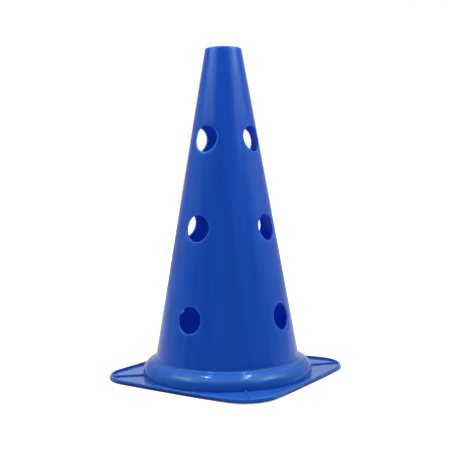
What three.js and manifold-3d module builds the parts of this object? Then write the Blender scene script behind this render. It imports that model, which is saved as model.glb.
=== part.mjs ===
// Training cone: a hollow tapered shell with pole holes, held in a separate square base.
// Lengths are millimetres, +Z is up, and the origin is on the floor under the middle of the cone.

import * as THREE from "three";
import { mergeVertices } from "three/addons/utils/BufferGeometryUtils.js";
import Module from "manifold-3d";

// Cone shell
const coneHeight = 380; // floor to rim
const rimRadius = 21; // outside of the flank at the rim
const footRadius = 88; // outside of the flank where it meets the floor
const coneWall = 2.2; // measured square to the flank
const rimRounding = 0.9; // on both edges of the rim
const flangeThickness = 2.2; // foot flange, which lies inside the base's collar
const flangeFillet = 2; // between the flange and the flank

// Pole holes, in level rows that face the sides of the base
const holeDiameter = 30;
const holeRows = 3;
const holesPerRow = 4;
const lowestRowHeight = 73.5; // floor to the middle of the lowest row
const topRowDrop = 105; // rim to the middle of the top row

// Square base
const baseMargin = 10.5; // from the widest part of the collar to the side of the base
const cornerRadius = 40;
const plateThickness = 2.4;
const borderWidth = 1.6; // top of the raised border
const borderHeight = 2.2; // above the plate
const borderSlope = 2; // how far the border's outer side leans in
const ribWidth = 2.4; // diagonal ribs, collar to corner
const ribHeight = 1.7; // above the plate

// Collar, the round swelling of the base that the cone passes through
const collarHeight = 20.3; // floor to the mouth
const collarWidth = 14.8; // mouth to the widest part
const collarFoot = 4; // floor to where the round part starts
const collarWall = 2.2;
const fitGap = 0.3; // between the cone and the base

// Fineness of the round parts
const turnSteps = 72;
const holeSteps = 36;
const cornerSteps = 6;
const crownSteps = 8;
const filletSteps = 4;

const flankSlope = (footRadius - rimRadius) / coneHeight;
const wallAcross = coneWall * Math.hypot(1, flankSlope); // the wall measured level
const rimRound = Math.min(rimRounding, wallAcross / 2); // no rounder than the wall allows
const flankRadius = (z) => footRadius - flankSlope * z;
const mouthRadius = (z) => flankRadius(z) + fitGap;
const collarRadius = mouthRadius(collarHeight) + collarWidth;
const cavityRadius = collarRadius - collarWall;
const baseHalf = collarRadius + baseMargin;
const borderTop = plateThickness + borderHeight;

const wasm = await Module();
wasm.setup();

function toSolid(geometry) {
  const bare = geometry.index ? geometry.toNonIndexed() : geometry.clone();
  bare.deleteAttribute("normal");
  bare.deleteAttribute("uv");
  const merged = mergeVertices(bare, 1e-4);
  const mesh = new wasm.Mesh({
    numProp: 3,
    vertProperties: new Float32Array(merged.attributes.position.array),
    triVerts: new Uint32Array(merged.index.array),
  });
  return new wasm.Manifold(mesh);
}

function toGeometry(solid) {
  const mesh = solid.getMesh();
  const geometry = new THREE.BufferGeometry();
  geometry.setAttribute("position", new THREE.BufferAttribute(mesh.vertProperties, 3));
  geometry.setIndex(new THREE.BufferAttribute(mesh.triVerts, 1));
  geometry.computeVertexNormals();
  return geometry;
}

// Points of an elliptical arc in the section plane, where x is the radius and y the height.
function arc(centreX, centreY, radiusX, radiusY, fromDegrees, toDegrees, steps) {
  const points = [];
  for (let step = 0; step <= steps; step += 1) {
    const angle = THREE.MathUtils.degToRad(fromDegrees + ((toDegrees - fromDegrees) * step) / steps);
    points.push(new THREE.Vector2(centreX + radiusX * Math.cos(angle), centreY + radiusY * Math.sin(angle)));
  }
  return points;
}

function roundArc(centreX, centreY, radius, fromDegrees, toDegrees) {
  return arc(centreX, centreY, radius, radius, fromDegrees, toDegrees, filletSteps);
}

// A section given anticlockwise, turned about Z.
function turned(points) {
  const section = points.filter((point, index) => index === 0 || point.distanceTo(points[index - 1]) > 1e-3);
  const geometry = new THREE.LatheGeometry(section, turnSteps);
  geometry.rotateX(Math.PI / 2);
  return toSolid(geometry);
}

function at(radius, height) {
  return new THREE.Vector2(radius, height);
}

function coneSection() {
  const flangeRadius = cavityRadius - fitGap;
  const filletMiddle = flangeThickness + flangeFillet;
  const rimBase = coneHeight - rimRound;
  const innerRim = rimRadius - wallAcross;
  const start = at(footRadius - wallAcross, 0);
  return [
    start,
    at(flangeRadius, 0),
    at(flangeRadius, flangeThickness),
    ...roundArc(flankRadius(filletMiddle) + flangeFillet, filletMiddle, flangeFillet, 270, 180),
    ...roundArc(flankRadius(rimBase) - rimRound, rimBase, rimRound, 0, 90),
    ...roundArc(innerRim + rimRound, rimBase, rimRound, 90, 180),
    start.clone(),
  ];
}

function poleHole(angle, height) {
  const length = footRadius + coneWall;
  const drill = new THREE.CylinderGeometry(holeDiameter / 2, holeDiameter / 2, length, holeSteps);
  drill.rotateZ(-Math.PI / 2);
  drill.translate(length / 2, 0, height);
  drill.rotateZ(angle);
  return toSolid(drill);
}

function coneShell() {
  let shell = turned(coneSection());
  const rowPitch = (coneHeight - topRowDrop - lowestRowHeight) / (holeRows - 1);
  for (let row = 0; row < holeRows; row += 1) {
    for (let column = 0; column < holesPerRow; column += 1) {
      const angle = (column * 2 * Math.PI) / holesPerRow;
      shell = shell.subtract(poleHole(angle, lowestRowHeight + row * rowPitch));
    }
  }
  return toGeometry(shell);
}

function roundedSquare(half, radius) {
  const shape = new THREE.Shape();
  const middle = half - radius;
  shape.absarc(middle, middle, radius, 0, Math.PI / 2);
  shape.absarc(-middle, middle, radius, Math.PI / 2, Math.PI);
  shape.absarc(-middle, -middle, radius, Math.PI, 1.5 * Math.PI);
  shape.absarc(middle, -middle, radius, 1.5 * Math.PI, 2 * Math.PI);
  return shape.getPoints(cornerSteps).slice(0, -1);
}

// A rounded square slab whose sides lean in by the given amount from bottom to top.
function slab(half, radius, lean, bottom, top) {
  const raised = (points, z) => points.map((point) => new THREE.Vector3(point.x, point.y, z));
  const low = raised(roundedSquare(half, radius), bottom);
  const high = raised(roundedSquare(half - lean, radius - lean), top);
  const lowMiddle = new THREE.Vector3(0, 0, bottom);
  const highMiddle = new THREE.Vector3(0, 0, top);
  const corners = [];
  low.forEach((start, index) => {
    const next = (index + 1) % low.length;
    corners.push(start, low[next], high[next], start, high[next], high[index]);
    corners.push(lowMiddle, low[next], start, highMiddle, high[index], high[next]);
  });
  return toSolid(new THREE.BufferGeometry().setFromPoints(corners));
}

function borderedPlate() {
  const block = slab(baseHalf, cornerRadius, borderSlope, 0, borderTop);
  const inset = borderSlope + borderWidth;
  const tray = slab(baseHalf - inset, cornerRadius - inset, 0, plateThickness, borderTop + borderHeight);
  return block.subtract(tray);
}

function cornerRib(angle) {
  const inner = collarRadius - collarWall / 2;
  const cornerReach = (baseHalf - cornerRadius) * Math.SQRT2 + cornerRadius;
  const outer = cornerReach - borderSlope - borderWidth / 2;
  const height = plateThickness + ribHeight;
  const rib = new THREE.BoxGeometry(outer - inner, ribWidth, height);
  rib.translate((inner + outer) / 2, 0, height / 2);
  rib.rotateZ(angle);
  return toSolid(rib);
}

function collarDome() {
  const rise = collarHeight - collarFoot;
  const swelling = arc(mouthRadius(collarHeight), collarFoot, collarWidth, rise, 0, 90, crownSteps);
  return turned([at(0, 0), at(collarRadius, 0), ...swelling, at(0, collarHeight)]);
}

// The space under the collar, with a mouth that follows the flank of the cone.
function collarCavity() {
  const roof = collarHeight - collarWall;
  const above = collarHeight + collarWall;
  const width = collarWidth - collarWall;
  const swelling = arc(mouthRadius(collarHeight), collarFoot, width, roof - collarFoot, 0, 90, crownSteps);
  const outerPart = swelling.filter((point) => point.x > mouthRadius(roof));
  return turned([
    at(0, -plateThickness),
    at(cavityRadius, -plateThickness),
    ...outerPart,
    at(mouthRadius(roof), roof),
    at(mouthRadius(above), above),
    at(0, above),
  ]);
}

function squareBase() {
  let base = borderedPlate().add(collarDome());
  for (let corner = 0; corner < 4; corner += 1) {
    base = base.add(cornerRib(Math.PI / 4 + (corner * Math.PI) / 2));
  }
  return toGeometry(base.subtract(collarCavity()));
}

function piece(name, geometry, colour, roughness) {
  const material = new THREE.MeshStandardMaterial({ color: colour, roughness, metalness: 0 });
  const mesh = new THREE.Mesh(geometry, material);
  mesh.name = name;
  return mesh;
}

const trainingCone = new THREE.Group();
trainingCone.name = "training_cone";
trainingCone.add(piece("cone_shell", coneShell(), 0x1951b5, 0.35));
trainingCone.add(piece("square_base", squareBase(), 0x205bb5, 0.38));

export default trainingCone;
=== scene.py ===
"""Looks of a moulded training cone and its square base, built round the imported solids, in metres."""

import math

import bmesh
import bpy
from mathutils import Matrix, Vector


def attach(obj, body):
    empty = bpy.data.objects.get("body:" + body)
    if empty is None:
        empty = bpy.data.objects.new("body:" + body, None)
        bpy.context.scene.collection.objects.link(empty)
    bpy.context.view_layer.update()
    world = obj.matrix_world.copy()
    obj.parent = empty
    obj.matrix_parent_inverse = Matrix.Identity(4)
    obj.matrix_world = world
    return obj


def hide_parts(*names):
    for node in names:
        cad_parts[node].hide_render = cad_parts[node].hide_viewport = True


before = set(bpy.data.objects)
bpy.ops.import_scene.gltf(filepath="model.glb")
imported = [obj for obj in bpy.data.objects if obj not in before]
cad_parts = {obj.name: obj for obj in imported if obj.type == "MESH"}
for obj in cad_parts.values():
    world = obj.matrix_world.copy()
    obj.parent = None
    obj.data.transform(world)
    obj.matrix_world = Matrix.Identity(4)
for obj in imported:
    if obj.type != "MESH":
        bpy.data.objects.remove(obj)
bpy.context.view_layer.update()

MM = 0.001

# Tapered shell
CONE_HEIGHT = 380 * MM
RIM_RADIUS = 21 * MM
FOOT_RADIUS = 88 * MM
CONE_WALL = 2.2 * MM  # measured square to the flank
RIM_ROUNDING = 0.9 * MM
FLANGE_THICKNESS = 2.2 * MM
FLANGE_RADIUS = 97.0 * MM
FLANGE_FILLET = 2.0 * MM
FLANGE_EDGE = 0.4 * MM

# Pole holes
HOLE_RADIUS = 15 * MM
HOLE_HEIGHTS = (73.5 * MM, 174.25 * MM, 275 * MM)
HOLE_EDGE_OUTSIDE = 0.55 * MM
HOLE_EDGE_INSIDE = 0.35 * MM

# Square base
BASE_HALF = 110.02 * MM
CORNER_RADIUS = 40 * MM
PLATE_THICKNESS = 2.4 * MM
BORDER_WIDTH = 1.6 * MM
BORDER_HEIGHT = 2.2 * MM
BORDER_SLOPE = 2.0 * MM
BORDER_DRAFT = 0.2 * MM
BORDER_CREST = 0.8 * MM  # rounding of the border's inner edge
BORDER_FILLET = 0.6 * MM  # where the border meets the plate
BORDER_LEAN = 0.9 * MM  # of the outer side, up to the shoulder
BORDER_SHOULDER = 1.1 * MM
BORDER_BULGE = 1.2 * MM  # height of the border's widest line
UNDERCUT = 0.6 * MM  # how far the border turns in below that line
RIB_WIDTH = 2.4 * MM
RIB_HEIGHT = 1.7 * MM
RIB_EDGE = 1.1 * MM
CORNER_CURLS = (1.0 * MM, 0.6 * MM, 0.3 * MM, 1.0 * MM)  # upward bend, turning from +X +Y
CURL_TIP = 6 * MM  # part of each corner that lifts in full
CURL_REACH = 50 * MM  # how far from there the bend runs out

# Collar
COLLAR_HEIGHT = 20.3 * MM
COLLAR_WIDTH = 15.0 * MM
COLLAR_FOOT = 4 * MM
COLLAR_WALL = 2.2 * MM
CROWN_ARC = 80  # degrees that the crown turns from its widest line to the lip
FIT_GAP = 0.1 * MM
LIP_HEIGHT = 1.6 * MM  # soft lip where the mouth thins out against the cone
LIP_TIP = 0.4 * MM
THROAT_STEP = 0.2 * MM  # least step from the mouth out to the roof of the hollow

# Fineness of the flank, which is drawn as a flat sheet with a cell of faces cut out round each hole
PANEL_COLUMNS = 32
PANEL_ROWS_PER_PITCH = 22
PANEL_ROWS_BELOW = 17
PANEL_ROWS_ABOVE = 23
CELL_COLUMNS = 10  # each way from the middle of the hole
CELL_ROWS = 6
CELL_RINGS = 2  # cuts between a hole and the edge of its cell
HOLE_POINTS = 4 * (CELL_COLUMNS + CELL_ROWS)
HOLED_SHARE = 0.45  # part of the sheet's width, each way from its middle, that can hold a cell
FORMER_POINTS = 1440
FORMER_OVERRUN = 20 * MM

# Fineness of the rest
CORNER_POINTS = 20
SIDE_POINTS = 16
RING_POINTS = 4 * (CORNER_POINTS + SIDE_POINTS)
PLATE_RINGS = 3  # cuts between the border and the collar
CROWN_STEPS = 14
FILLET_STEPS = 5
BEAD_STEPS = 6
RIM_STEPS = 5
HOLE_EDGE_STEPS = 3
RIB_EDGE_STEPS = 4
ROUND_PROFILE = 0.5
SMOOTH_ANGLE = 40
OTHER_QUARTERS = 3

# How far a point may lie from a level, a wall or another point and still count as on it
LEVEL_SLACK = 0.02 * MM
WALL_SLACK = 0.05 * MM
RING_SLACK = 0.1 * MM
TRIM_SLACK = 0.001 * MM
MERGE_SLACK = 0.01 * MM

# Colours of the moulding, as deep streaks, light streaks and worn edges, whose lighter blue is also a
# painted edge highlight
CONE_BLUES = ((0.009, 0.0735, 0.44), (0.011, 0.0865, 0.5), (0.028, 0.14, 0.56))
BASE_BLUES = ((0.014, 0.095, 0.418), (0.017, 0.109, 0.47), (0.03, 0.135, 0.52))
PAINTED_INSIDE_LIGHT = (0.03, 0.11, 0.58)  # painted light that lightens the dull inside
# Painted shade for the outer foot of the border
PAINTED_FOOT_SHADE = (0.007, 0.016, 0.075)

# Gloss of the moulding, which takes some of its blue
CONE_ROUGHNESS = 0.2
BASE_ROUGHNESS = 0.125
ROUGHNESS_SPREAD = 0.025  # each way, over the skin
RUBBED_DULLING = 0.04
CORE_DULLING = 0.3
PLASTIC_IOR = 1.5
GLOSS_LEVEL = 0.38
GLOSS_TINT = (0.48, 0.95, 1, 1)

# How deep red, green and blue light goes into the plastic, in millimetres
CONE_GLOW = (4, 6, 9)
BASE_GLOW = (0.3, 0.4, 0.6)

# Patterns in the plastic: how fine each noise is, how detailed, and the part of its range that is used
STREAK_SCALE = 7
SKIN_SCALE = 260
WEAR_AND_HIGHLIGHT_SCALE = 140
RIPPLE_SCALE = 55
FINE_DETAIL = 2
RIPPLE_DETAIL = 1
STREAK_RANGE = (0.3, 0.7)
SKIN_RANGE = (0.3, 0.7)
WEAR_AND_HIGHLIGHT_RANGE = (0.25, 0.6)
LEAST_WEAR_AND_HIGHLIGHT = 0.45
RIPPLE_STRENGTH = 0.4
RIPPLE_HEIGHT = 0.4 * MM
PEEL_STRENGTH = 0.06
PEEL_HEIGHT = 0.3 * MM

# Worn edges with their painted highlight, the painted light inside the cone and the painted shade at the
# foot: where each one starts and where it is full
HOLE_WEAR_AND_HIGHLIGHT = (1.3 * MM, 0.4 * MM)  # out from the edge of a hole
RIM_WEAR_AND_HIGHLIGHT = (1.6 * MM, 0.4 * MM)  # down from the rim
COLLAR_MARGIN = (1 * MM, 3 * MM)  # out from the collar, which isn't rubbed
RAISED_WEAR_AND_HIGHLIGHT = 1.2 * MM  # up from the plate, and full at the top of the border
RAISED_SHARE = 0.6
CORE_DEPTHS = (0.8 * MM, 1.8 * MM)  # into the cone's wall
FOOT_SHADE_DEPTHS = (3 * MM, 1.5 * MM)  # in from the side of the base
FOOT_SHADE_HEIGHTS = (3.4 * MM, 1.2 * MM)

# Camera, at the photograph's angle
CAMERA_PLACE = Vector((519.1, -767.2, 228.5)) * MM
CAMERA_HEADING = 34.123
CAMERA_TILT = 86.71
CAMERA_ROLL = -0.773
CAMERA_LENS = 63.16
SENSOR_WIDTH = 36

# Pale floor, white to the eye
FLOOR_SIZE = 8
FLOOR_DROP = 0.2 * MM  # keeps the floor clear of the underside
FLOOR_GREY = (0.58, 0.58, 0.58, 1)
FLOOR_ROUGHNESS = 0.9
FLOOR_GLOSS = 0.1
NEAR_WHITENESS = 0.6  # beside the cone
WHITENESS_REACH = (0.1, 0.9)  # from the axis, where the whiteness starts to grow and where it is full
MIRRORED_FLOOR = 0.1  # share of the floor's whiteness that the plastic mirrors

# Room that the plastic mirrors: places from straight behind (0) to the camera's side (1), each with its grey
ROOM_WALLS = ((0.016, 0.78), (0.05, 0.4), (0.4, 0.4), (0.75, 0.04))
CEILING = 0.75
CEILING_RISE = (0.45, 0.8)  # upward part of a direction where the ceiling starts and where it is full
WHITE = (1, 1, 1)

taper = (FOOT_RADIUS - RIM_RADIUS) / CONE_HEIGHT
wall_across = CONE_WALL * math.hypot(1, taper)
inner_foot = FOOT_RADIUS - wall_across
hole_pitch = HOLE_HEIGHTS[1] - HOLE_HEIGHTS[0]
row_height = hole_pitch / PANEL_ROWS_PER_PITCH
sheet_low = HOLE_HEIGHTS[0] - PANEL_ROWS_BELOW * row_height
sheet_high = HOLE_HEIGHTS[-1] + PANEL_ROWS_ABOVE * row_height
sheet_middle = (sheet_low + sheet_high) / 2
quarter_width = 2 * math.sin(math.pi / 4)  # straight across a quarter turn, as a share of its radius
mouth_radius = FOOT_RADIUS - taper * COLLAR_HEIGHT + FIT_GAP
collar_radius = mouth_radius + COLLAR_WIDTH
border_top = PLATE_THICKNESS + BORDER_HEIGHT
corner_reach = (BASE_HALF - CORNER_RADIUS) * math.sqrt(2) + CORNER_RADIUS


def flank(height, foot=FOOT_RADIUS):
    """Radius of a tapered wall at a height, from its radius at the floor."""
    return foot - taper * height


def rest():
    """Leaves edit mode with nothing selected."""
    if bpy.context.mode != "OBJECT":
        bpy.ops.object.mode_set(mode="OBJECT")
    bpy.ops.object.select_all(action="DESELECT")


def choose(piece):
    """Selects one piece alone and makes it active."""
    rest()
    piece.select_set(True)
    bpy.context.view_layer.objects.active = piece


def edit(piece):
    """Opens one piece in edit mode."""
    choose(piece)
    bpy.ops.object.mode_set(mode="EDIT")


def new_piece(name):
    """Names the primitive that was just added and settles its place into its mesh."""
    piece = bpy.context.active_object
    piece.name = name
    piece.data.name = name
    bpy.ops.object.transform_apply(location=True, rotation=True, scale=True)
    return piece


def apply_modifiers(piece):
    """Settles every modifier of a piece into its mesh."""
    choose(piece)
    for modifier in list(piece.modifiers):
        bpy.ops.object.modifier_apply(modifier=modifier.name)


def smooth(piece):
    """Shades a piece smooth, except across its sharper edges."""
    choose(piece)
    bpy.ops.object.shade_smooth_by_angle(angle=math.radians(SMOOTH_ANGLE))
    rest()


def pick(piece, kind, wanted):
    """Selects the verts, edges or faces of the open piece that the test wants."""
    bpy.ops.mesh.select_mode(type=kind)
    bpy.ops.mesh.select_all(action="DESELECT")
    form = bmesh.from_edit_mesh(piece.data)
    parts = {"VERT": form.verts, "EDGE": form.edges, "FACE": form.faces}[kind]
    for part in parts:
        if wanted(part):
            part.select_set(True)
    form.select_flush_mode()
    bmesh.update_edit_mesh(piece.data)


def middle(part):
    """Middle of an edge or a face."""
    total = Vector((0, 0, 0))
    for vert in part.verts:
        total += vert.co
    return total / len(part.verts)


def off_axis(point):
    """Distance from the upright axis."""
    return math.hypot(point.x, point.y)


def rise_of(edge):
    """How far an edge goes up or down."""
    return abs(edge.verts[0].co.z - edge.verts[1].co.z)


def level(edge, height):
    """Whether an edge lies level at a height."""
    return all(abs(vert.co.z - height) < LEVEL_SLACK for vert in edge.verts)


def is_open(edge):
    """Whether an edge is the rim of an opening in the mesh."""
    return len(edge.link_faces) == 1


def open_at(height):
    """A test for the open edges that lie level at a height."""
    return lambda edge: is_open(edge) and level(edge, height)


def round_off(rounding, steps, affect="EDGES"):
    """Rounds what is picked."""
    bpy.ops.mesh.bevel(offset=rounding, segments=steps, profile=ROUND_PROFILE, affect=affect)


def repeat_quarters():
    """Copies what is picked into the other three quarters."""
    bpy.ops.mesh.spin(
        steps=OTHER_QUARTERS,
        dupli=True,
        angle=OTHER_QUARTERS * math.pi / 2,
        center=(0, 0, 0),
        axis=(0, 0, 1),
    )


def face_outward():
    """Turns every face of the open piece outward."""
    bpy.ops.mesh.select_all(action="SELECT")
    bpy.ops.mesh.normals_make_consistent(inside=False)


def grow_rings(points):
    """Extrudes the picked ring through a row of (radius, height) points, the first being where it is."""
    for start, target in zip(points, points[1:]):
        bpy.ops.mesh.extrude_region_move(TRANSFORM_OT_translate={"value": (0, 0, target[1] - start[1])})
        spread = target[0] / start[0]
        bpy.ops.transform.resize(value=(spread, spread, 1), center_override=(0, 0, target[1]))


def arc_points(centre, radii, first, last, steps):
    """Points of an elliptical arc in the (radius, height) plane, angles in degrees."""
    angles = [math.radians(first + (last - first) * step / steps) for step in range(steps + 1)]
    return [(centre[0] + radii[0] * math.cos(a), centre[1] + radii[1] * math.sin(a)) for a in angles]


def flat_sheet(name, foot, stand_off):
    """A quarter of a tapered wall, drawn flat in front of the cone as a grid of faces."""
    rest()
    bpy.ops.mesh.primitive_plane_add(size=1, rotation=(0, math.pi / 2, 0))
    sheet = new_piece(name)
    edit(sheet)
    bpy.ops.mesh.select_all(action="SELECT")
    bpy.ops.transform.resize(
        value=(1, quarter_width * flank(sheet_low, foot), sheet_high - sheet_low),
        center_override=(0, 0, 0),
    )
    bpy.ops.transform.translate(value=(stand_off, 0, sheet_middle))
    pick(sheet, "VERT", lambda vert: vert.co.z > sheet_middle)
    narrowing = flank(sheet_high, foot) / flank(sheet_low, foot)
    bpy.ops.transform.resize(value=(1, narrowing, 1), center_override=(stand_off, 0, sheet_high))
    pick(sheet, "EDGE", lambda edge: rise_of(edge) < row_height / 2)
    bpy.ops.mesh.subdivide(number_cuts=PANEL_COLUMNS - 1)
    pick(sheet, "EDGE", lambda edge: rise_of(edge) > row_height / 2)
    bpy.ops.mesh.subdivide(number_cuts=round((sheet_high - sheet_low) / row_height) - 1)
    return sheet


def open_hole(sheet, foot, stand_off, height):
    """Swaps a cell of the flat sheet for rings of faces round a hole."""
    cell_share = quarter_width * CELL_COLUMNS / PANEL_COLUMNS

    def in_cell(face):
        spot = middle(face)
        wide = abs(spot.y) < cell_share * flank(spot.z, foot)
        return wide and abs(spot.z - height) < CELL_ROWS * row_height

    def beside_opening(edge):
        spot = middle(edge)
        inside_sheet = abs(spot.y) < HOLED_SHARE * quarter_width * flank(spot.z, foot)
        near = abs(spot.z - height) < CELL_ROWS * row_height + row_height / 2
        return len(edge.link_faces) < 2 and inside_sheet and near

    pick(sheet, "FACE", in_cell)
    bpy.ops.mesh.delete(type="FACE")
    bpy.ops.mesh.select_all(action="DESELECT")
    bpy.ops.mesh.primitive_circle_add(
        vertices=HOLE_POINTS,
        radius=HOLE_RADIUS,
        location=(stand_off + HOLE_RADIUS, 0, height),
        rotation=(0, math.pi / 2, 0),
    )
    pick(sheet, "EDGE", beside_opening)
    bpy.ops.mesh.bridge_edge_loops(number_cuts=CELL_RINGS, interpolation="LINEAR")


def lay_on_cone(sheet, foot):
    """Presses the flat sheet straight back on to a full cone."""
    rest()
    bpy.ops.mesh.primitive_cone_add(
        vertices=FORMER_POINTS,
        radius1=flank(sheet_low - FORMER_OVERRUN, foot),
        radius2=flank(sheet_high + FORMER_OVERRUN, foot),
        depth=sheet_high - sheet_low + 2 * FORMER_OVERRUN,
        end_fill_type="NOTHING",
        location=(0, 0, sheet_middle),
    )
    former = new_piece("former")
    laid = sheet.modifiers.new("laid", "SHRINKWRAP")
    laid.target = former
    laid.wrap_method = "PROJECT"
    laid.use_project_x = True
    laid.use_positive_direction = False
    laid.use_negative_direction = True
    apply_modifiers(sheet)
    bpy.data.objects.remove(former)


def trim(height, upward):
    """Cuts the open piece level at a height and throws away what lies beyond."""
    bpy.ops.mesh.select_all(action="SELECT")
    bpy.ops.mesh.bisect(
        plane_co=(0, 0, height),
        plane_no=(0, 0, 1 if upward else -1),
        clear_outer=True,
        threshold=TRIM_SLACK,
    )


def flank_quarter(name, foot, low_end):
    """A quarter of a tapered wall with its column of holes, from a low end up to the rim."""
    stand_off = 2 * foot
    sheet = flat_sheet(name, foot, stand_off)
    for height in HOLE_HEIGHTS:
        open_hole(sheet, foot, stand_off, height)
    lay_on_cone(sheet, foot)
    edit(sheet)
    trim(CONE_HEIGHT, upward=True)
    trim(low_end, upward=False)
    return sheet


def hole_axes():
    """Direction and height of every pole hole."""
    sides = [Vector((1, 0, 0)), Vector((0, 1, 0)), Vector((-1, 0, 0)), Vector((0, -1, 0))]
    return [(side, height) for side in sides for height in HOLE_HEIGHTS]


def on_hole(point, side, height):
    """Whether a point lies on the wall of a hole."""
    ahead = point.dot(side)
    away = point - side * ahead - Vector((0, 0, height))
    return ahead > 0 and abs(away.length - HOLE_RADIUS) < WALL_SLACK


def along_hole(edge, side, height):
    """Whether an edge runs along the wall of a hole."""
    return all(on_hole(vert.co, side, height) for vert in edge.verts)


def grow_flange(cone, fillet_start):
    """Turns the foot of the outer wall out through a fillet into the flange, and down to the floor."""
    pick(cone, "EDGE", open_at(fillet_start))
    fillet_middle = (flank(fillet_start) + FLANGE_FILLET, fillet_start)
    fillet = arc_points(fillet_middle, (FLANGE_FILLET, FLANGE_FILLET), 180, 270, FILLET_STEPS)
    edge_middle = (FLANGE_RADIUS - FLANGE_EDGE, FLANGE_THICKNESS - FLANGE_EDGE)
    edge_round = arc_points(edge_middle, (FLANGE_EDGE, FLANGE_EDGE), 90, 0, FILLET_STEPS)
    grow_rings(fillet + edge_round + [(FLANGE_RADIUS, 0)])


def join_walls(cone):
    """Closes the outer wall to the inner one at the foot, the rim and the holes."""
    for height in (0, CONE_HEIGHT):
        pick(cone, "EDGE", open_at(height))
        bpy.ops.mesh.bridge_edge_loops()
    for side, height in hole_axes():
        pick(cone, "EDGE", lambda edge: is_open(edge) and along_hole(edge, side, height))
        bpy.ops.mesh.bridge_edge_loops()


def soften_cone(cone):
    """Rounds both edges of the rim and of every hole."""
    def round_the_rim(edge):
        across = off_axis(edge.verts[0].co) - off_axis(edge.verts[1].co)
        return level(edge, CONE_HEIGHT) and abs(across) < RING_SLACK

    pick(cone, "EDGE", round_the_rim)
    round_off(RIM_ROUNDING, RIM_STEPS)

    for foot, rounding in ((FOOT_RADIUS, HOLE_EDGE_OUTSIDE), (inner_foot, HOLE_EDGE_INSIDE)):
        def hole_lip(edge):
            for vert in edge.verts:
                if abs(off_axis(vert.co) - flank(vert.co.z, foot)) > WALL_SLACK:
                    return False
            return any(along_hole(edge, *axis) for axis in hole_axes())

        pick(cone, "EDGE", hole_lip)
        round_off(rounding, HOLE_EDGE_STEPS)


def make_cone():
    """The shell: an outer and an inner wall, turned from one quarter and closed at every edge."""
    fillet_start = FLANGE_THICKNESS + FLANGE_FILLET
    cone = flank_quarter("cone", FOOT_RADIUS, fillet_start)
    inner = flank_quarter("cone_inside", inner_foot, 0)
    bpy.ops.mesh.select_all(action="SELECT")
    bpy.ops.mesh.flip_normals()
    choose(cone)
    inner.select_set(True)
    bpy.ops.object.join()

    edit(cone)
    bpy.ops.mesh.select_all(action="SELECT")
    repeat_quarters()
    bpy.ops.mesh.select_all(action="SELECT")
    bpy.ops.mesh.remove_doubles(threshold=MERGE_SLACK)
    grow_flange(cone, fillet_start)
    join_walls(cone)
    soften_cone(cone)
    face_outward()
    rest()
    return cone


def border_steps():
    """(inward, upward) steps of the border, from its widest line over the crest and down to the plate."""
    shoulder_middle = (BORDER_SLOPE, border_top - BORDER_SHOULDER)
    shoulder_radii = (BORDER_SLOPE - BORDER_LEAN, BORDER_SHOULDER)
    shoulder = arc_points(shoulder_middle, shoulder_radii, 180, 90, BEAD_STEPS)
    inner = BORDER_SLOPE + BORDER_WIDTH
    crest_middle = (inner - BORDER_CREST, border_top - BORDER_CREST)
    crest = arc_points(crest_middle, (BORDER_CREST, BORDER_CREST), 90, 0, FILLET_STEPS)
    foot_middle = (inner + BORDER_DRAFT + BORDER_FILLET, PLATE_THICKNESS + BORDER_FILLET)
    foot = arc_points(foot_middle, (BORDER_FILLET, BORDER_FILLET), 180, 270, FILLET_STEPS)
    section = [(0, BORDER_BULGE)] + shoulder + crest + foot
    return [(b[0] - a[0], b[1] - a[1]) for a, b in zip(section, section[1:])]


def collar_rings():
    """(radius, height) points from the plate up over the collar, into its mouth and down inside it."""
    centre = (mouth_radius, COLLAR_FOOT)
    crown_radii = (COLLAR_WIDTH, COLLAR_HEIGHT - COLLAR_FOOT)
    crown = arc_points(centre, crown_radii, 0, CROWN_ARC, CROWN_STEPS)
    tip_height = COLLAR_HEIGHT + LIP_HEIGHT
    tip = flank(tip_height) + FIT_GAP
    run_out = crown[-1][0] - tip - LIP_TIP
    lip_middle = (tip + LIP_TIP + run_out, tip_height)
    lip = arc_points(lip_middle, (run_out, tip_height - crown[-1][1]), 270, 180, FILLET_STEPS)
    roof = COLLAR_HEIGHT - COLLAR_WALL
    hollow_radii = (COLLAR_WIDTH - COLLAR_WALL, roof - COLLAR_FOOT)
    hollow = arc_points(centre, hollow_radii, 90, 0, CROWN_STEPS)
    throat = flank(roof) + FIT_GAP
    inside = [point for point in hollow if point[0] > throat + THROAT_STEP]
    cavity = collar_radius - COLLAR_WALL
    mouth = [(tip, tip_height), (throat, roof)]
    return [(collar_radius, PLATE_THICKNESS)] + crown + lip[1:] + mouth + inside + [(cavity, 0)]


def draw_border(base):
    """Rounds the corners of the flat square and raises its border, with an undercut below."""
    bpy.ops.mesh.select_all(action="SELECT")
    round_off(CORNER_RADIUS, CORNER_POINTS, "VERTICES")
    pick(base, "EDGE", lambda edge: edge.calc_length() > CORNER_RADIUS)
    bpy.ops.mesh.subdivide(number_cuts=SIDE_POINTS - 1)
    pick(base, "FACE", lambda face: True)
    for inward, upward in border_steps():
        bpy.ops.mesh.inset(thickness=inward, depth=upward)
    bpy.ops.mesh.delete(type="ONLY_FACE")
    pick(base, "EDGE", open_at(BORDER_BULGE))
    undercut_middle = (BASE_HALF - UNDERCUT, BORDER_BULGE)
    grow_rings(arc_points(undercut_middle, (UNDERCUT, BORDER_BULGE), 0, -90, BEAD_STEPS))


def raise_collar(base):
    """Grows the collar ring by ring, then closes the plate and the underside between it and the border."""
    bpy.ops.mesh.select_mode(type="EDGE")
    bpy.ops.mesh.select_all(action="DESELECT")
    rings = collar_rings()
    bpy.ops.mesh.primitive_circle_add(vertices=RING_POINTS, radius=rings[0][0], location=(0, 0, rings[0][1]))
    grow_rings(rings)
    pick(base, "EDGE", open_at(PLATE_THICKNESS))
    bpy.ops.mesh.bridge_edge_loops(number_cuts=PLATE_RINGS, interpolation="LINEAR")
    pick(base, "EDGE", open_at(0))
    bpy.ops.mesh.bridge_edge_loops()


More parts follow.
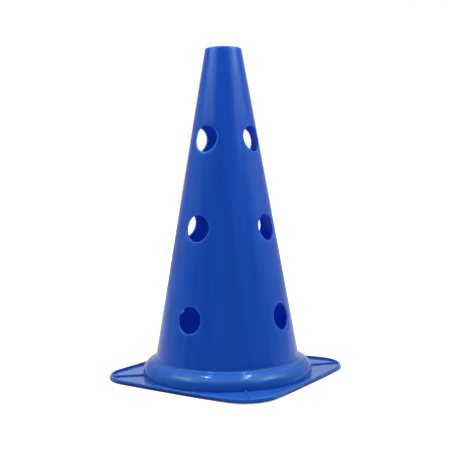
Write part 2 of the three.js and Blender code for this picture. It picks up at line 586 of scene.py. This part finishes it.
def make_ribs():
    """The four diagonal ribs, each from inside the collar's wall to inside the border."""
    inner = collar_radius - COLLAR_WALL / 2
    outer = corner_reach - BORDER_SLOPE - BORDER_WIDTH / 2
    low = PLATE_THICKNESS / 2
    high = PLATE_THICKNESS + RIB_HEIGHT

    def long_top_edge(edge):
        across = edge.verts[0].co.y - edge.verts[1].co.y
        return level(edge, high) and abs(across) < RIB_WIDTH / 2

    rest()
    bpy.ops.mesh.primitive_cube_add(size=1)
    ribs = new_piece("ribs")
    edit(ribs)
    bpy.ops.mesh.select_all(action="SELECT")
    bpy.ops.transform.resize(value=(outer - inner, RIB_WIDTH, high - low), center_override=(0, 0, 0))
    bpy.ops.transform.translate(value=((inner + outer) / 2, 0, (low + high) / 2))
    pick(ribs, "EDGE", long_top_edge)
    round_off(RIB_EDGE, RIB_EDGE_STEPS)
    bpy.ops.mesh.select_all(action="SELECT")
    bpy.ops.transform.rotate(value=math.pi / 4, orient_axis="Z", center_override=(0, 0, 0))
    repeat_quarters()
    rest()
    return ribs


def join_ribs(base):
    """Makes the ribs one skin with the plate, the border and the collar."""
    ribs = make_ribs()
    joined = base.modifiers.new("ribs", "BOOLEAN")
    joined.operation = "UNION"
    joined.solver = "EXACT"
    joined.object = ribs
    apply_modifiers(base)
    bpy.data.objects.remove(ribs)


def curl_corners(base):
    """Bends the four corners up a little, as a thin plate does when its moulding cools."""
    edit(base)
    for quarter, curl in enumerate(CORNER_CURLS):
        angle = math.pi / 4 + quarter * math.pi / 2
        outward = Vector((math.cos(angle), math.sin(angle), 0))
        pick(base, "VERT", lambda vert: vert.co.dot(outward) > corner_reach - CURL_TIP)
        bpy.ops.transform.translate(
            value=(0, 0, curl),
            use_proportional_edit=True,
            proportional_edit_falloff="SMOOTH",
            proportional_size=CURL_REACH,
        )
    rest()


def make_base():
    """The square plate with its border, hollow collar and ribs, as one closed skin."""
    rest()
    bpy.ops.mesh.primitive_plane_add(size=2 * BASE_HALF, location=(0, 0, BORDER_BULGE))
    base = new_piece("base")
    edit(base)
    draw_border(base)
    raise_collar(base)
    face_outward()
    rest()
    join_ribs(base)
    curl_corners(base)
    return base


class NodeTree:
    """A shading tree that is built up node by node."""

    def __init__(self, tree):
        self.tree = tree

    def node(self, kind, **settings):
        made = self.tree.nodes.new(kind)
        for key, value in settings.items():
            setattr(made, key, value)
        return made

    def link(self, source, target):
        self.tree.links.new(source, target)

    def calculate(self, operation, *values):
        """A Math node whose inputs are numbers or other nodes' outputs."""
        made = self.node("ShaderNodeMath", operation=operation)
        for value, socket in zip(values, made.inputs):
            if isinstance(value, (int, float)):
                socket.default_value = value
            else:
                self.link(value, socket)
        return made.outputs["Value"]

    def vector(self, **parts):
        """A vector with the given outputs as its X, Y or Z."""
        made = self.node("ShaderNodeCombineXYZ")
        for axis, value in parts.items():
            self.link(value, made.inputs[axis])
        return made.outputs["Vector"]

    def vector_node(self, operation, *vectors):
        made = self.node("ShaderNodeVectorMath", operation=operation)
        for value, socket in zip(vectors, made.inputs):
            self.link(value, socket)
        return made

    def split(self, vector):
        """The X, Y and Z of a vector."""
        made = self.node("ShaderNodeSeparateXYZ")
        self.link(vector, made.inputs["Vector"])
        return [made.outputs[axis] for axis in "XYZ"]

    def length(self, across, up):
        """Length of a flat vector."""
        return self.vector_node("LENGTH", self.vector(X=across, Y=up)).outputs["Value"]

    def ramp(self, value, start, end, low=0.0, high=1.0, course="SMOOTHSTEP"):
        """Goes from low at start to high at end."""
        made = self.node("ShaderNodeMapRange", interpolation_type=course)
        made.inputs["From Min"].default_value = start
        made.inputs["From Max"].default_value = end
        made.inputs["To Min"].default_value = low
        made.inputs["To Max"].default_value = high
        self.link(value, made.inputs["Value"])
        return made.outputs["Result"]

    def mix(self, share, first, second):
        """Mixes two colours, each a tuple or another node's output."""
        made = self.node("ShaderNodeMix", data_type="RGBA")
        self.link(share, made.inputs["Factor"])
        for value, socket in ((first, made.inputs["A"]), (second, made.inputs["B"])):
            if isinstance(value, tuple):
                socket.default_value = (*value, 1)
            else:
                self.link(value, socket)
        return made.outputs["Result"]


class Finish(NodeTree):
    """A material whose patterns follow the place on its piece."""

    def __init__(self, name):
        self.material = bpy.data.materials.new(name)
        self.material.use_nodes = True
        super().__init__(self.material.node_tree)
        self.shader = self.tree.nodes["Principled BSDF"]
        self.place = self.node("ShaderNodeTexCoord").outputs["Object"]
        self.x, self.y, self.z = self.split(self.place)

    def noise(self, scale, detail, vector=None):
        made = self.node("ShaderNodeTexNoise")
        made.inputs["Scale"].default_value = scale
        made.inputs["Detail"].default_value = detail
        self.link(vector or self.place, made.inputs["Vector"])
        return made.outputs["Fac"]

    def bump(self, pattern, strength, height):
        made = self.node("ShaderNodeBump")
        made.inputs["Strength"].default_value = strength
        made.inputs["Distance"].default_value = height
        self.link(pattern, made.inputs["Height"])
        return made

    def coat(self, piece):
        """Makes this the only material of a piece."""
        piece.data.materials.clear()
        piece.data.materials.append(self.material)


def cone_wear_and_highlight(finish):
    """Worn edges of the pole holes and the rim, lighter from scuffing and from a painted edge highlight."""
    across_x = finish.calculate("ABSOLUTE", finish.x)
    across_y = finish.calculate("ABSOLUTE", finish.y)
    beside = finish.calculate("MINIMUM", across_x, across_y)
    rise = finish.calculate("SUBTRACT", finish.z, HOLE_HEIGHTS[0])
    nearest_row = finish.calculate("ROUND", finish.calculate("DIVIDE", rise, hole_pitch))
    row = finish.calculate("MINIMUM", nearest_row, len(HOLE_HEIGHTS) - 1)
    above = finish.calculate("MULTIPLY_ADD", row, -hole_pitch, rise)
    hole_start, hole_full = (HOLE_RADIUS + distance for distance in HOLE_WEAR_AND_HIGHLIGHT)
    holes = finish.ramp(finish.length(beside, above), hole_start, hole_full)
    rim_start, rim_full = (CONE_HEIGHT - distance for distance in RIM_WEAR_AND_HIGHLIGHT)
    rim = finish.ramp(finish.z, rim_start, rim_full)
    return finish.calculate("MAXIMUM", holes, rim)


def base_wear_and_highlight(finish):
    """Worn tops of the border and the ribs, lighter towards the top from scuffing and from a painted
    highlight.
    """
    margin_start, margin_end = (collar_radius + distance for distance in COLLAR_MARGIN)
    outside = finish.ramp(finish.length(finish.x, finish.y), margin_start, margin_end)
    raised = finish.ramp(finish.z, PLATE_THICKNESS + RAISED_WEAR_AND_HIGHLIGHT, border_top, 0, RAISED_SHARE)
    return finish.calculate("MULTIPLY", outside, raised)


def cone_core_lit(finish):
    """The inside of the cone, left dull by the mould's core and lightened with painted light."""
    outer = finish.calculate("MULTIPLY_ADD", finish.z, taper, finish.length(finish.x, finish.y))
    core_start, core_full = (FOOT_RADIUS - depth for depth in CORE_DEPTHS)
    return finish.ramp(outer, core_start, core_full)


def painted_foot_shade(finish):
    """Painted shade on the outer foot of the border, darkest at the bottom."""
    beyond = []
    for across in (finish.x, finish.y):
        distance = finish.calculate("ABSOLUTE", across)
        past_middle = finish.calculate("SUBTRACT", distance, BASE_HALF - CORNER_RADIUS)
        beyond.append(finish.calculate("MAXIMUM", past_middle, 0))
    side_start, side_full = (CORNER_RADIUS - depth for depth in FOOT_SHADE_DEPTHS)
    outer_side = finish.ramp(finish.length(*beyond), side_start, side_full)
    return finish.calculate("MULTIPLY", outer_side, finish.ramp(finish.z, *FOOT_SHADE_HEIGHTS))


def moulded_plastic(name, blues, roughness, glow, wear_and_highlight, core=None, foot_shade=None):
    """Moulded plastic: upright flow streaks, a fine orange-peel skin, slow ripples, worn edges that also
    carry a painted highlight and, where given, painted light inside and painted shade at the foot.
    """
    deep, light, rubbed_and_highlit = blues
    finish = Finish(name)
    shader = finish.shader
    shader.inputs["IOR"].default_value = PLASTIC_IOR
    shader.inputs["Specular IOR Level"].default_value = GLOSS_LEVEL
    shader.inputs["Specular Tint"].default_value = GLOSS_TINT
    shader.inputs["Subsurface Weight"].default_value = 1
    shader.inputs["Subsurface Radius"].default_value = glow
    shader.inputs["Subsurface Scale"].default_value = MM

    bearing = finish.vector_node("NORMALIZE", finish.vector(X=finish.x, Y=finish.y))
    upright = finish.vector_node("ADD", bearing.outputs["Vector"], finish.vector(Z=finish.z))
    flow = finish.noise(STREAK_SCALE, FINE_DETAIL, upright.outputs["Vector"])
    streaks = finish.ramp(flow, *STREAK_RANGE)
    skin = finish.noise(SKIN_SCALE, FINE_DETAIL)
    ripple = finish.noise(RIPPLE_SCALE, RIPPLE_DETAIL)

    patches = finish.ramp(finish.noise(WEAR_AND_HIGHLIGHT_SCALE, FINE_DETAIL), *WEAR_AND_HIGHLIGHT_RANGE, LEAST_WEAR_AND_HIGHLIGHT, 1)
    rubbing_and_highlight = finish.calculate("MULTIPLY", wear_and_highlight(finish), patches)
    # The worn colour also stands for a painted highlight along edges and crests.
    colour = finish.mix(rubbing_and_highlight, finish.mix(streaks, deep, light), rubbed_and_highlit)
    sheen = finish.ramp(skin, *SKIN_RANGE, roughness - ROUGHNESS_SPREAD, roughness + ROUGHNESS_SPREAD)
    sheen = finish.calculate("MULTIPLY_ADD", rubbing_and_highlight, RUBBED_DULLING, sheen)
    if core:
        inside = core(finish)
        sheen = finish.calculate("MULTIPLY_ADD", inside, CORE_DULLING, sheen)
        # Painted light: the inside of the cone is lightened.
        colour = finish.mix(inside, colour, PAINTED_INSIDE_LIGHT)
    if foot_shade:
        # Painted shade: the outer foot of the border is darkened.
        colour = finish.mix(foot_shade(finish), colour, PAINTED_FOOT_SHADE)
    finish.link(colour, shader.inputs["Base Color"])
    finish.link(sheen, shader.inputs["Roughness"])

    waves = finish.bump(ripple, RIPPLE_STRENGTH, RIPPLE_HEIGHT)
    peel = finish.bump(skin, PEEL_STRENGTH, PEEL_HEIGHT)
    finish.link(waves.outputs["Normal"], peel.inputs["Normal"])
    finish.link(peel.outputs["Normal"], shader.inputs["Normal"])
    return finish


def make_camera():
    """A camera where the photograph was taken from."""
    data = bpy.data.cameras.new("photo_camera")
    data.lens = CAMERA_LENS
    data.sensor_width = SENSOR_WIDTH
    camera = bpy.data.objects.new("photo_camera", data)
    bpy.context.scene.collection.objects.link(camera)
    turn = (
        Matrix.Rotation(math.radians(CAMERA_HEADING), 4, "Z")
        @ Matrix.Rotation(math.radians(CAMERA_TILT), 4, "X")
        @ Matrix.Rotation(math.radians(CAMERA_ROLL), 4, "Z")
    )
    camera.location = CAMERA_PLACE
    camera.rotation_euler = turn.to_euler()
    bpy.context.scene.camera = camera


def make_floor():
    """A pale floor, white to the eye, that keeps the shadow of the cone."""
    rest()
    bpy.ops.mesh.primitive_plane_add(size=FLOOR_SIZE, location=(0, 0, -FLOOR_DROP))
    floor = new_piece("floor")
    finish = Finish("pale_floor")
    shader = finish.shader
    shader.inputs["Base Color"].default_value = FLOOR_GREY
    shader.inputs["Roughness"].default_value = FLOOR_ROUGHNESS
    shader.inputs["Specular IOR Level"].default_value = FLOOR_GLOSS
    away = finish.length(finish.x, finish.y)
    beside_cone = finish.ramp(away, FOOT_RADIUS, BASE_HALF)
    outward = finish.ramp(away, *WHITENESS_REACH, NEAR_WHITENESS, 1)
    whiteness = finish.calculate("MULTIPLY", beside_cone, outward)
    path = finish.node("ShaderNodeLightPath").outputs
    seen = finish.calculate("MAXIMUM", path["Is Camera Ray"], path["Is Transmission Ray"])
    mirrored = finish.calculate("MULTIPLY", path["Is Glossy Ray"], MIRRORED_FLOOR)
    shown = finish.calculate("MAXIMUM", seen, mirrored)
    shader.inputs["Emission Color"].default_value = (*WHITE, 1)
    finish.link(finish.calculate("MULTIPLY", whiteness, shown), shader.inputs["Emission Strength"])
    finish.coat(floor)


def make_surround():
    """White to the eye all round, while the plastic mirrors a room that is dark on the camera's side."""
    world = bpy.data.worlds.new("studio")
    bpy.context.scene.world = world
    world.use_nodes = True
    room = NodeTree(world.node_tree)
    direction = room.node("ShaderNodeTexCoord").outputs["Generated"]
    facing = room.vector_node("DOT_PRODUCT", direction)
    facing.inputs[1].default_value = Vector((CAMERA_PLACE.x, CAMERA_PLACE.y, 0)).normalized()
    turn = room.ramp(facing.outputs["Value"], -1, 1, course="LINEAR")

    walls = room.node("ShaderNodeValToRGB")
    greys = walls.color_ramp
    greys.interpolation = "EASE"
    for stop, (position, grey) in zip(list(greys.elements), (ROOM_WALLS[0], ROOM_WALLS[-1])):
        stop.position = position
        stop.color = (grey, grey, grey, 1)
    for position, grey in ROOM_WALLS[1:-1]:
        stop = greys.elements.new(position)
        stop.color = (grey, grey, grey, 1)
    room.link(turn, walls.inputs["Fac"])

    upward = room.ramp(room.split(direction)[2], *CEILING_RISE)
    mirrored = room.mix(upward, walls.outputs["Color"], (CEILING, CEILING, CEILING))
    path = room.node("ShaderNodeLightPath").outputs
    seen = room.calculate("MAXIMUM", path["Is Camera Ray"], path["Is Transmission Ray"])
    background = world.node_tree.nodes["Background"]
    room.link(room.mix(seen, mirrored, WHITE), background.inputs["Color"])
    background.inputs["Strength"].default_value = 1


def make_lamp(name, bearing, elevation, distance, size, power, roll=0):
    """A lamp seen from the cone at a bearing from the camera's side, aimed at the cone's middle."""
    target = Vector((0, 0, CONE_HEIGHT / 2))
    turn = math.radians(CAMERA_HEADING + bearing)
    rise = math.radians(elevation)
    away = Vector((math.sin(turn) * math.cos(rise), -math.cos(turn) * math.cos(rise), math.sin(rise)))
    data = bpy.data.lights.new(name, "AREA")
    data.shape = "RECTANGLE"
    data.size, data.size_y = size
    data.energy = power
    lamp = bpy.data.objects.new(name, data)
    bpy.context.scene.collection.objects.link(lamp)
    lamp.location = target + away * distance
    aim = (-away).to_track_quat("-Z", "Y").to_matrix() @ Matrix.Rotation(math.radians(roll), 3, "Z")
    lamp.rotation_euler = aim.to_euler()


def make_lamps():
    """Low cards for the flank's sides, soft boxes with bright cores, and tubes that streak the collar."""
    make_lamp("left_card", bearing=-84, elevation=15, distance=1.3, size=(0.9, 0.24), power=0.29)
    make_lamp("right_card", bearing=90, elevation=15, distance=1.3, size=(0.9, 0.24), power=0.41)
    make_lamp("left_box", bearing=-68, elevation=44, distance=1.3, size=(1.2, 0.95), power=6.1)
    make_lamp("right_box", bearing=68, elevation=44, distance=1.3, size=(1.2, 0.95), power=6.5)
    make_lamp("left_core", bearing=-72, elevation=38, distance=1.25, size=(0.45, 0.3), power=1.6)
    make_lamp("right_core", bearing=70, elevation=38, distance=1.25, size=(0.45, 0.3), power=2.0)
    make_lamp("front_box", bearing=0, elevation=60, distance=1.4, size=(0.9, 0.7), power=2.0)
    make_lamp(
        "left_tube", bearing=-90, elevation=72.7, distance=1.37, size=(0.09, 0.43), power=3.2, roll=-86
    )
    make_lamp(
        "right_tube", bearing=80, elevation=73, distance=1.37, size=(0.07, 1.1), power=6.0, roll=-74
    )


cone = make_cone()
smooth(cone)
cone_plastic = moulded_plastic(
    "moulded_blue_cone", CONE_BLUES, CONE_ROUGHNESS, CONE_GLOW, cone_wear_and_highlight, core=cone_core_lit
)
cone_plastic.coat(cone)
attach(cone, "cone")
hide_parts("cone_shell")

base = make_base()
smooth(base)
base_plastic = moulded_plastic(
    "moulded_blue_base", BASE_BLUES, BASE_ROUGHNESS, BASE_GLOW, base_wear_and_highlight, foot_shade=painted_foot_shade
)
base_plastic.coat(base)
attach(base, "base")
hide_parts("square_base")

make_camera()
make_floor()
make_surround()
make_lamps()
bpy.context.scene.view_settings.view_transform = "Standard"
